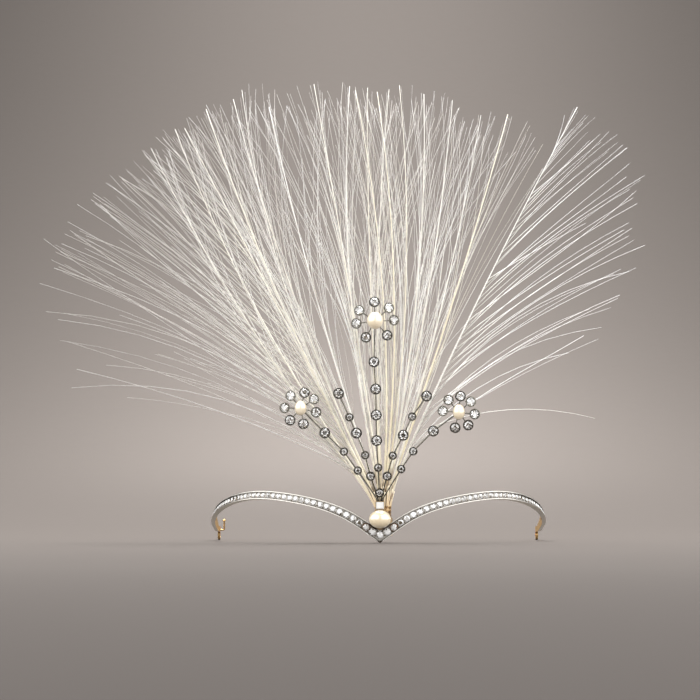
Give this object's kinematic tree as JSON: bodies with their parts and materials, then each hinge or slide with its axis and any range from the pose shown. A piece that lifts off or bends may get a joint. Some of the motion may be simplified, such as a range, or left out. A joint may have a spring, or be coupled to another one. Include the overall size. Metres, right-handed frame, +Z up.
{
  "type": "bandeau tiara with aigrette plume",
  "caption": "Low V-fronted diamond bandeau with a button pearl, trembling diamond flower sprays and a tall fan of white feathers.",
  "frame": {"origin": "tip of the brow point, where the front of the bandeau stands on the surface", "axes": "+X to the viewer's right along the brow, +Y to the back of the head, +Z up along the plume"},
  "size_m": [0.2799, 0.11, 0.2148],
  "materials": {
    "silver": "bright silver front, darkened in its recesses, with a gold back",
    "gold": "polished yellow gold",
    "diamond": "cut and polished, colourless",
    "pearl": "cream with a soft lustre",
    "feather": "white, loose and silky, golden brown at the root"
  },
  "bodies": {
    "root": {"baguette_diamond": "diamond", "bandeau": "silver", "brow_diamond": "diamond", "button_pearl": "pearl", "centre_flower_diamonds": "diamond", "centre_flower_pearl": "pearl", "centre_spray": "silver", "centre_spray_diamond_1": "diamond", "centre_spray_diamond_2": "diamond", "centre_spray_diamond_3": "diamond", "centre_spray_diamond_4": "diamond", "centre_spray_diamond_5": "diamond", "centre_spray_diamond_6": "diamond", "left_band_diamonds": "diamond", "left_eye": "gold", "left_flower_diamonds": "diamond", "left_flower_pearl": "pearl", "left_hook": "gold", "left_inner_spray": "silver", "left_inner_spray_diamond_1": "diamond", "left_inner_spray_diamond_2": "diamond", "left_inner_spray_diamond_3": "diamond", "left_inner_spray_diamond_4": "diamond", "left_inner_spray_diamond_5": "diamond", "left_spray": "silver", "left_spray_diamond_1": "diamond", "left_spray_diamond_2": "diamond", "left_spray_diamond_3": "diamond", "plume": "feather", "right_band_diamonds": "diamond", "right_eye": "gold", "right_flower_diamonds": "diamond", "right_flower_pearl": "pearl", "right_inner_spray": "silver", "right_inner_spray_diamond_1": "diamond", "right_inner_spray_diamond_2": "diamond", "right_inner_spray_diamond_3": "diamond", "right_inner_spray_diamond_4": "diamond", "right_inner_spray_diamond_5": "diamond", "right_spray": "silver", "right_spray_diamond_1": "diamond", "right_spray_diamond_2": "diamond", "right_spray_diamond_3": "diamond", "socket": "silver"}
  },
  "joints": []
}
